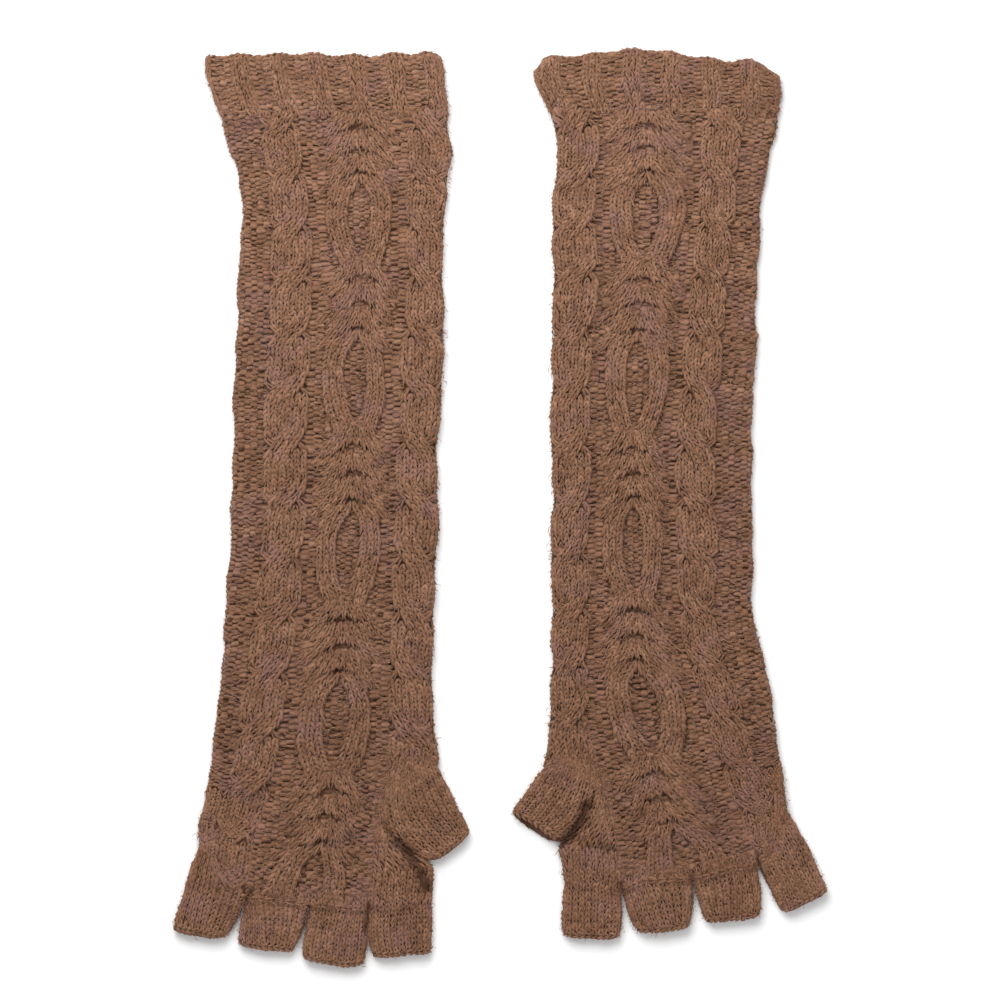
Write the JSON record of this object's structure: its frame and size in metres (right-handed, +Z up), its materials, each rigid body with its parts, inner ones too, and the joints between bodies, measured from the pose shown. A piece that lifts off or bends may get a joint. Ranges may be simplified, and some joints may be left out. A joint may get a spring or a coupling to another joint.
{
  "type": "pair of knitted fingerless gloves",
  "caption": "Elbow-length fingerless gloves in cabled knit with ribbed cuffs, short open fingers and thumbs, laid flat side by side.",
  "frame": {"origin": "centre of the pair's bounding box, at the surface the gloves lie on", "axes": "+Y runs from the fingers to the cuffs, +Z is up out of the surface, +X towards the left-hand glove"},
  "size_m": [0.2692, 0.3756, 0.007],
  "materials": {
    "cable_knit": "matte",
    "rib_knit": "matte",
    "plain_knit": "matte"
  },
  "bodies": {
    "root": {"right_cuff": "rib_knit", "right_arm": "cable_knit", "right_thumb": "plain_knit", "right_index": "plain_knit", "right_middle": "plain_knit", "right_ring": "plain_knit", "right_little": "plain_knit", "left_cuff": "rib_knit", "left_arm": "cable_knit", "left_thumb": "plain_knit", "left_index": "plain_knit", "left_middle": "plain_knit", "left_ring": "plain_knit", "left_little": "plain_knit"}
  },
  "joints": []
}
